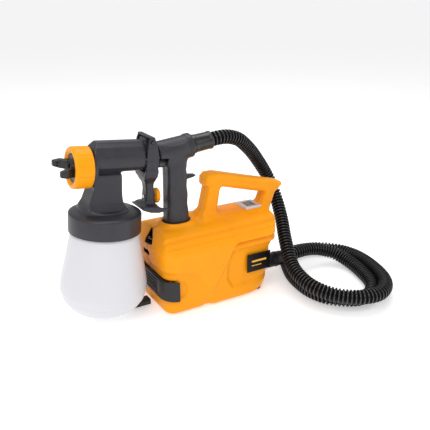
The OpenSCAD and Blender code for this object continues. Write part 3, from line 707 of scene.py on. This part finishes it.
def switch():
    top = CROWN_Z + 6.2
    g = Grid((SWITCH_X - 18, -18, 108), (SWITCH_X + 18, 18, 131), 0.5)
    plate = box_field(g, (SWITCH_X - 15, -15.5, CROWN_Z - 1), (SWITCH_X + 15, 15.5, top), 1.8)
    neck = box_field(g, (SWITCH_X - 10.7, -11.9, CROWN_Z - 10), (SWITCH_X + 10.7, 11.9, CROWN_Z), 1)
    well = box_field(g, (SWITCH_X - 8.8, -10.2, 100), (SWITCH_X + 8.8, 10.2, 140), 1)
    carved("switch_frame", g, cut(join(plate, neck, 0.8), well, 1), BOX, "sprayer", "silver_plastic",
           ["switch_bezel"], 0.4)
    g = Grid((SWITCH_X - 10, -12, 112), (SWITCH_X + 10, 12, 131), 0.45)
    side = outline(g.x, g.z, [(SWITCH_X - 8.2, CROWN_Z + 3.6), (SWITCH_X, CROWN_Z + 3.4),
                              (SWITCH_X + 6.9, CROWN_Z + 7.2), (SWITCH_X + 6, CROWN_Z - 4),
                              (SWITCH_X, CROWN_Z - 7), (SWITCH_X - 6, CROWN_Z - 4)], 0.8)
    carved("rocker_switch", g, common(side, np.abs(g.y) - 9.8, 1), BOX, "switch_rocker", "rocker_plastic",
           ["switch_rocker"], 0.5)
    # on and off marks: a bar and a ring, standing just proud of the rocker's two wings
    rise = math.radians(-28.8)
    place = BOX @ Matrix.Translation((SWITCH_X + 4.2, 0, CROWN_Z + 5.75)) @ Matrix.Rotation(rise, 4, "Y")
    plate_mark("switch_on_mark", place, 0.9, 6.5, "dark_mark", "switch_rocker")
    place = BOX @ Matrix.Translation((SWITCH_X - 4.6, 0, CROWN_Z + 3.5))
    ring = [(1.5, 0), (2.4, 0), (2.4, 0.2), (1.5, 0.2)]
    lathe("switch_off_mark", ring, place, "switch_rocker", "dark_mark", sides=32)


def screws():
    """Heads of the housing's screws, seen down their wells."""
    for k, (x, z) in enumerate(SCREW_SPOTS):
        bore = BOX @ Matrix.Translation((x, 0, z)) @ Matrix.Rotation(math.radians(-90), 4, "X")
        profile = rounded([(0, 3.2), (1.4, 3.2), (1.4, 9.1), (2.8, 9.1), (2.8, 11, 0.8), (1.1, 11.4, 0.3),
                           (1.1, 10.2), (0, 10.2)], 0.15)
        lathe(f"housing_screw_{k}", profile, bore, "sprayer", "steel", ["housing_screws"], 32)


def plate_mark(name, axes, wide, long, material, body, thick=0.3):
    """A thin bar with round ends, lying in X and Y."""
    r = wide / 2
    ends = [(0, long / 2 - r, 0), (0, r - long / 2, 180)]
    ring = []
    for cx, cy, start in ends:
        for k in range(9):
            a = math.radians(start + 180 * k / 8)
            ring.append((cx + r * math.cos(a), cy + r * math.sin(a)))
    n = len(ring)
    vertices = [(x, y, z) for z in (0, thick) for x, y in ring]
    faces = [tuple(range(n - 1, -1, -1)), tuple(range(n, 2 * n))]
    faces += [(i, (i + 1) % n, n + (i + 1) % n, n + i) for i in range(n)]
    made = piece(name, vertices, faces, axes, body, material)
    crisp(made, 30)
    return made


def labels():
    for side, word in ((-1, "left"), (1, "right")):
        g = Grid((LABEL_X - 23, -3, LABEL_Z - 16), (LABEL_X + 23, 3, LABEL_Z + 16), 0.5)
        plate = box_field(g, (LABEL_X - LABEL_WIDE / 2, -0.9, LABEL_Z - LABEL_TALL / 2),
                          (LABEL_X + LABEL_WIDE / 2, 0.9, LABEL_Z + LABEL_TALL / 2), 0.8)
        seat = BOX @ Matrix.Translation((0, side * (BOX_HW - LABEL_DEPTH), 0))
        carved("label_" + word, g, plate, seat, "sprayer", "label", ["label_plate"], 0.3)
        # generic marks: two plain stripes
        out = Matrix.Rotation(math.radians(-90 * side), 4, "X")
        face = side * (BOX_HW - LABEL_DEPTH + 0.85)
        for k, (z, long, thick) in enumerate(((2.5, 27, 3.2), (-4.5, 18, 1.4))):
            place = BOX @ Matrix.Translation((LABEL_X - 13.5 + long / 2, face, LABEL_Z + z)) @ out
            place = place @ Matrix.Rotation(math.radians(90), 4, "Z")
            plate_mark(f"label_stripe_{word}_{k}", place, thick, long, "mark", "sprayer", 0.15)


def port():
    x0, x1 = 161.1, 177.0
    body = along_x(BOX, PORT_Y, PORT_Z)
    lathe("outlet_spigot", rounded([(9, 142.1), (11.7, 142.1), (11.7, 161), (9, 161)], 0.4), body, "sprayer",
          "black_plastic", ["outlet_port"])
    lathe("hose_cuff_at_box", rounded([(8.4, x0), (12.5, x0), (12.5, x0 + 3), (11.9, x0 + 4), (11.9, x1 - 4),
                                       (11.2, x1 - 3), (11.2, x1), (8.4, x1)], 0.7), body, "sprayer",
          "black_plastic", ["box_hose_cuff"])
    lathe("power_cord_gland", rounded([(4.15, 135), (10, 135), (10, 137.5), (8, 137.5), (8, 152.6), (10.5, 153),
                                       (10.5, 155.6), (7.5, 157.6), (6.2, GLAND_X), (4.15, GLAND_X)], 0.7),
          along_x(BOX, GLAND_Y, GLAND_Z), "sprayer", "black_plastic", ["cord_gland"])


def feet():
    for k, (x, y) in enumerate(FOOT_SPOTS):
        profile = rounded([(0, 0.02), (7.4, 0.02), (8, 1.0), (8, 2.2), (0, 2.2)], 0.5)
        lathe(f"rubber_foot_{k}", profile, BOX @ Matrix.Translation((x, y, 0)), "sprayer", "rubber",
              ["rubber_feet"], 48)


# ------------------------------------------------------------------ gun: rear body and grip


def gun_axes(g):
    """The box's X and Z in the gun's axes."""
    x, z = g.x - GUN_X, g.z
    c, s = math.cos(GUN_PITCH), math.sin(GUN_PITCH)
    return x * c - z * s, x * s + z * c


def tube_axes(gx, gz):
    """The gun's X and Z in the axes of its sloping rear body."""
    x, z = gx - TUBE_X, gz - TUBE_Z
    c, s = math.cos(TUBE_SLOPE), math.sin(TUBE_SLOPE)
    return x * c + z * s, z * c - x * s


def grip():
    g = Grid((-44, -20, 68), (36, 20, 262), 0.9)
    gx, gz = gun_axes(g)
    tx, tz = tube_axes(gx, gz)
    x0, x1 = GRIP_X - SOCKET_A, GRIP_X + SOCKET_A
    side = outline(g.x, g.z, [
        (x0, 70), (x0, 126), (-16.4, 150), (-15, 180), (-14.5, 206), (-18, 218), (-18, 236), (16, 240),
        (16, 214), (14.4, 203), (17.2, 192), (14.8, 178), (18.2, 165), (15.8, 152), (19, 139), (x1, 128), (x1, 70)
    ], 1.2)
    panel = outline(g.x, g.z, [(3, 143), (30, 143), (30, 206), (9, 206), (3, 198)], 2)
    inward = 0.9 * ramp(-panel, 1.4)
    round_ = stadium(g.x, np.abs(g.y) + inward, GRIP_X, SOCKET_A, SOCKET_B)
    handle = common(side, round_, 3)
    tube = rod(g.y, tz, tx, 0, 0, -88, -41, 16.6, 2.5)
    collar = rod(g.y, tz, tx, 0, 0, -42.5, -33, 17.8, 1.6)
    spur = common(outline(gx, gz, [(108, 194), (118, 196.6), (126, 198), (133, 199.8), (138, 203), (131, 203.4),
                                   (125, 203.6), (119, 205), (108, 212)], 0.5), np.abs(g.y) - 5.5, 1.5)
    full = join(join(join(handle, tube, 9), collar, 1.2), spur, 4)
    full = cut(full, np.maximum(gx - 86, gz - 231.5), 1)
    shell = np.maximum(full, -(full + WALL))
    shell = cut(shell, rod(g.y, gz, gx, 0, AXIS_Z, 60, 101, 5.3), 0.5)
    shell = cut(shell, rod(g.y, gz, gx, 0, AIR_Z, 50, 86, 11.3), 0.5)
    shell = cut(shell, rod(g.y, tz, tx, 0, 0, -50, -20, 11.9), 0.5)
    for x, z in ((1, 90), (-3, 150), (0, 200), (2, 226)):
        shell = cut(shell, rod(g.x, g.z, g.y, x, z, 10, 30, 2.4), 0.5)
    for name, side_, node in (("grip_shell_left", 1, "grip_left"), ("grip_shell_right", -1, "grip_right")):
        half = common(shell, side_ * g.y + 0.06, 0.6)
        carved(name, g, half, BOX, "sprayer", "charcoal_plastic", [node], 0.5)
    profile = rounded([(8.5, -40), (11.7, -40), (11.7, -32.9), (13.9, -32.9), (13.9, -27), (13.3, -25.5),
                       (12.9, -4), (13.4, -3.2), (13.4, 0), (8.5, 0)], 0.6)
    lathe("hose_cuff_at_gun", profile, along_x(TUBE), "sprayer", "hose_plastic", ["gun_hose_cuff"])


# ------------------------------------------------------------------ gun: spray head, lid and cup


def spray_head():
    g = Grid((-38, -38, 158), (88, 38, 264), 0.95)
    ay = np.abs(g.y)
    barrel = common(
        outline(ay, g.z, [(-40, 257), (6, 257), (8.5, 254.5), (14, 250), (18, 244), (19.8, 237), (20, 233),
                          (19.8, 229), (18, 223.5), (13.5, 218.2), (7.5, 215.6), (-40, 215)], 3),
        outline(g.x, g.z, [(-22, 200), (-22, 246), (-16, 258), (50, 258), (50, 205), (15, 205), (15, 200)], 1.5), 1.8)
    neck = common(
        outline(g.x, g.z, [(-22, 214), (17, 214), (18, 184), (20, 172), (24, 158), (-34, 158), (-28, 176),
                           (-22, 194)], 1.5),
        outline(ay, g.z, [(-40, 158), (20.5, 158), (18.5, 174), (17.5, 190), (17, 205), (17, 220),
                          (-40, 220)], 1.2), 1.6)
    foot = rod(g.x, g.y, g.z, -2, 0, 150, 164.6, 32, 2)
    head = join(join(barrel, neck, 7), foot, 13)
    seat = rod(g.y, g.z, g.x, 0, AXIS_Z, -24.2, -17, 21, 1)
    thread = rod(g.y, g.z, g.x, 0, AXIS_Z, -34, -23, 20, 0.6)
    tube = rod(g.y, g.z, g.x, 0, AIR_Z, 40, 84, 10.9, 0.6)
    lug = box_field(g, (PIVOT_X - 6, -9, AIR_Z), (PIVOT_X + 4, 9, PIVOT_Z + 3.2), 1.5)
    head = join(join(join(head, seat, 5), thread, 0.8), join(tube, lug, 2), 2)
    head = cut(head, rod(g.y, g.z, g.x, 0, AIR_Z, 55, 90, 8.5), 0.5)
    head = cut(head, rod(g.y, g.z, g.x, 0, AXIS_Z, 34, 60, 5.6), 0.5)
    head = cut(head, rod(g.y, g.z, g.x, 0, AXIS_Z, -40, -22, 6.3), 0.5)
    carved("spray_head_moulded", g, head, GUN, "sprayer", "charcoal_plastic", ["spray_head"], 0.5)


def lid_and_cup():
    lid = [(4.1, 154), (45.6, 154), (46.9, 152.6, 0.5), (46.9, 132.2), (48.2, 131.7, 0.4), (49.9, 132.4, 0.6),
           (49.9, 158.4, 2.6), (46, 160.4, 6), (34, 163.2, 10), (20, 165, 10), (4.1, 165.4)]
    lathe("cup_lid_domed", rounded(lid, 0.6, 5), GUN, "sprayer", "charcoal_plastic", ["cup_lid"], 144, angle=50)
    t = 1.8
    outer = [(0, 14.5), (28, 13.5, 8), (40, 15.5, 9), (50, 22, 10), (57.5, 33, 10), (61.4, 47, 10), (60.6, 59, 12),
             (47.6, 128, 2), (46.3, 131, 1), (46.3, 151.8, 0.4)]
    inner = [(46.3 - t, 151.8, 0.4), (46.3 - t, 131, 1), (47.6 - t, 128, 2), (60.6 - t, 59, 12), (61.4 - t, 47, 10),
             (56, 34, 10), (48.9, 23.6, 10), (39.4, 15.5 + t, 9), (28, 13.5 + t, 8), (0, 14.5 + t)]
    lathe("cup_moulded", rounded(outer + inner, 0.4, 6), GUN, "cup", "cup_plastic", ["paint_cup"], 144, angle=60)


# ------------------------------------------------------------------ gun: nozzle end, trigger and knob


def nozzle_end():
    def knurl(a, r, x):
        if r < 25:
            return r
        phase = (a * NUT_GROOVES / (2 * math.pi)) % 1
        return r - 0.55 * math.exp(-((phase - 0.5) / 0.05) ** 2)

    nut = [(21.6, -24.3, 0.3), (27.6, -24.3, 0.6), (28, -27, 1), (28, -46, 1.5), (26.6, -49, 1.5), (22.6, -49, 0.8),
           (19, -46.6, 0.5), (19, -46, 0.2), (20.4, -45.8, 0.2), (20.4, -35, 0.2), (21.6, -34.8, 0.2)]
    lathe("ring_nut_knurled", rounded(nut, 0.5), along_x(GUN, 0, AXIS_Z), "ring_nut", "yellow_plastic", ["ring_nut"],
          NUT_GROOVES * 26, knurl, 30)
    g = Grid((-70, -23, AXIS_Z - 23), (-39, 23, AXIS_Z + 23), 0.65)
    turn = math.radians(CAP_TURN)
    across = g.y * math.cos(turn) + (g.z - AXIS_Z) * math.sin(turn)
    up = (g.z - AXIS_Z) * math.cos(turn) - g.y * math.sin(turn)
    disc_ = rod(g.y, g.z, g.x, 0, AXIS_Z, -46.3, -41, 18.7, 0.5)
    crown = rod(g.y, g.z, g.x, 0, AXIS_Z, -50, -44, 10.5, 1.5)
    horn = common(outline(g.x, up, [(-44, -6.5), (-58, -6), (-67, -3.6), (-67, 3.6), (-58, 6), (-44, 6.5)], 1.2),
                  np.abs(np.abs(across) - np.interp(g.x, [-67, -57, -50, -46], [19, 17, 13.2, 12.8]))
                  - np.interp(g.x, [-67, -50], [3.2, 4.2]), 1.4)
    cap = join(join(disc_, crown, 2), horn, 1.8)
    cap = cut(cap, rod(g.y, g.z, g.x, 0, AXIS_Z, -60, -30, 6.6), 0.5)
    for lift in (-2.2, 2.2):
        cap = cut(cap, np.maximum(disc(g.x, up, -61, lift, 0.9), np.abs(np.abs(across) - 14) - 2), 0.3)
    carved("air_cap_moulded", g, cap, GUN, "air_cap", "black_plastic", ["air_cap"], 0.6)


def needle_sleeve():
    profile = rounded([(1.6, 75.5), (5.6, 75.5), (6.6, 76.5, 0.8), (6.6, 99), (1.6, 99)], 0.5)
    lathe("needle_guide_sleeve", profile, along_x(GUN, 0, AXIS_Z), "sprayer", "sleeve_plastic", ["needle_guide"], 48)


def trigger():
    g = Grid((38, -26, 152), (104, 26, 269), 0.85)
    ay = np.abs(g.y)
    spread = np.interp(g.z, [204, 214, 228, 246], [15.5, 18.4, 20.4, 20.8])
    plate = common(outline(g.x, g.z, [(50.5, 206), (50.5, 246), (52, 256), (54.5, 262), (61, 262), (65, 252),
                                      (68, 238), (68.5, 206)], 1.5), np.abs(ay - spread) - 1.5, 0.9)
    tab = box_field(g, (53.5, -22.3, 261), (61, 22.3, 264), 1.4)
    cross = common(outline(g.x, g.z, [(50.5, 217), (68.6, 217), (69, 206), (67, 201), (54, 201), (51.5, 206)], 2),
                   ay - np.interp(g.z, [198, 204, 214, 218], [9, 15, 19.9, 20.4]), 2)
    cross = np.maximum(cross, -np.maximum(ay - spread + 1.5, 213.4 - g.z))
    bar = common(outline(g.x, g.z, [(53, 212), (69, 212), (68.4, 196), (69, 180), (72, 160), (56, 160), (57.4, 186)],
                         2), ay - 9, 4)
    foot_side = outline(g.x, g.z, [(43, 165), (50, 159.6), (60, 156.6), (72, 156), (84, 157.6), (96, 161.4),
                                   (85, 161.2), (76, 163), (68, 165.2), (56, 165.4), (50, 163.6)], 0.3)
    wide = ay - 22.5 * np.sqrt(np.clip(1 - ((g.x - 72) / 38) ** 2, 0.05, 1))
    foot = common(foot_side, wide, 1.2)
    foot = cut(foot, np.maximum(ay - 18.4, 75 - g.x), 1.5)
    body = join(join(join(plate, tab, 1.5), cross, 3), join(bar, foot, 6), 9)
    pins = np.maximum(disc(g.x, g.z, 59.5, AXIS_Z, 2), slab(ay, 3.2, 21))
    body = join(body, pins, 0.3)
    body = cut(body, disc(g.x, g.z, PIVOT_X, PIVOT_Z, 2.1) + 0 * g.y, 0.3)
    body = cut(body, disc(g.y, g.z, 0, KNOB_Z, 2.7) + 0 * g.x, 0.3)
    carved("trigger_moulded", g, body, GUN, "trigger", "charcoal_plastic", ["trigger"], 0.55)

    def knurl(a, r, x):
        return r if r < 10 else r - 0.55 * (0.5 + 0.5 * math.cos(a * KNOB_GROOVES)) ** 2

    knob = [(2.6, 72.8), (9.6, 72.8), (11, 74), (11, 77.2), (10, 78.4), (4, 78.7, 2), (2.6, 78.2)]
    lathe("flow_knob_knurled", rounded(knob, 0.7), along_x(GUN, 0, KNOB_Z), "flow_knob", "yellow_plastic",
          ["flow_knob"], KNOB_GROOVES * 10, knurl, 40)


camera()
MATERIALS = make_materials()
floor()
lights()
hose()
housing()
grille()
skid()
socket_trim()
switch()
screws()
labels()
port()
feet()
grip()
spray_head()
lid_and_cup()
nozzle_end()
needle_sleeve()
trigger()


# ------------------------------------------------------------------ materials of the CAD nodes

DARKER = {"trigger_pin": "dark_steel"}
SLOTS = {row["node"]: row["material_slot"] for row in frame["record"]["subparts"]}
for name, node in nodes.items():
    node.data.materials.clear()
    node.data.materials.append(MATERIALS[DARKER.get(name, SLOTS[name])])
